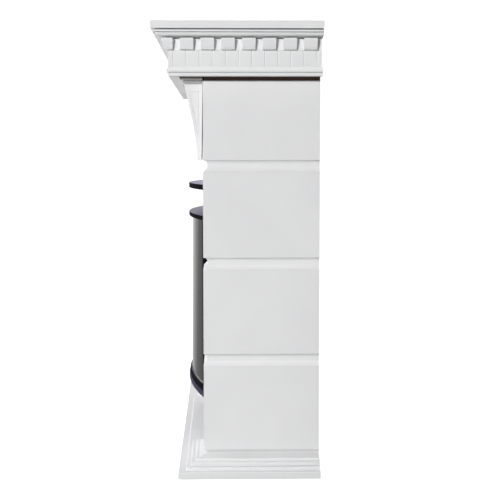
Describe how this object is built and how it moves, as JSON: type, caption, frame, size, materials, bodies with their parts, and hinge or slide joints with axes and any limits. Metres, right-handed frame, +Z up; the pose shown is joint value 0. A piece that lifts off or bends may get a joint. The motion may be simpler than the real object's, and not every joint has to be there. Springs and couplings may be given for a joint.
{
  "type": "fireplace mantelpiece",
  "caption": "White panelled fireplace mantelpiece with block pilasters, corbels, a dentil and fluted frieze and a plain shelf, round a bow-fronted black electric stove.",
  "frame": {"origin": "on the floor, under the middle of the shelf's width and depth", "axes": "+X along the width, to the right as seen from the front; -Y is the front; +Z is up"},
  "size_m": [1.194, 0.4086, 1.1],
  "materials": {
    "white_paint": "satin white paint over smooth board",
    "raw_board": "bare brown fibreboard, unpainted",
    "black_enamel": "gloss black enamelled sheet",
    "smoked_glass": "dark tinted curved glass, smooth"
  },
  "bodies": {
    "root": {"base_moulding_left_front": "white_paint", "base_moulding_left_outer": "white_paint", "base_moulding_left_return": "white_paint", "base_moulding_right_front": "white_paint", "base_moulding_right_outer": "white_paint", "base_moulding_right_return": "white_paint", "bead_moulding_front": "white_paint", "bead_moulding_left": "white_paint", "bead_moulding_right": "white_paint", "corbel_cap_left": "white_paint", "corbel_cap_right": "white_paint", "corbel_left": "white_paint", "corbel_right": "white_paint", "crown_moulding_front": "white_paint", "crown_moulding_left": "white_paint", "crown_moulding_right": "white_paint", "dentil_course_front": "white_paint", "dentil_course_left": "white_paint", "dentil_course_right": "white_paint", "frieze_board_front": "white_paint", "frieze_board_left": "white_paint", "frieze_board_right": "white_paint", "hearth_board": "white_paint", "mantelshelf": "white_paint", "opening_apron": "white_paint", "opening_lintel": "white_paint", "pilaster_left_cap_board": "raw_board", "pilaster_left_front_panel": "white_paint", "pilaster_left_inner_cheek": "white_paint", "pilaster_left_outer_panel": "white_paint", "pilaster_right_cap_board": "raw_board", "pilaster_right_front_panel": "white_paint", "pilaster_right_inner_cheek": "white_paint", "pilaster_right_outer_panel": "white_paint", "plinth_moulding_front": "white_paint", "plinth_moulding_left": "white_paint", "plinth_moulding_right": "white_paint", "soffit_board": "raw_board", "stove_firebox": "black_enamel", "stove_glass": "smoked_glass", "stove_outlet_grille": "black_enamel", "stove_platform": "raw_board", "stove_post_left": "black_enamel", "stove_post_right": "black_enamel", "stove_sill": "black_enamel", "stove_upper_plate": "black_enamel", "stove_visor": "black_enamel"}
  },
  "joints": []
}
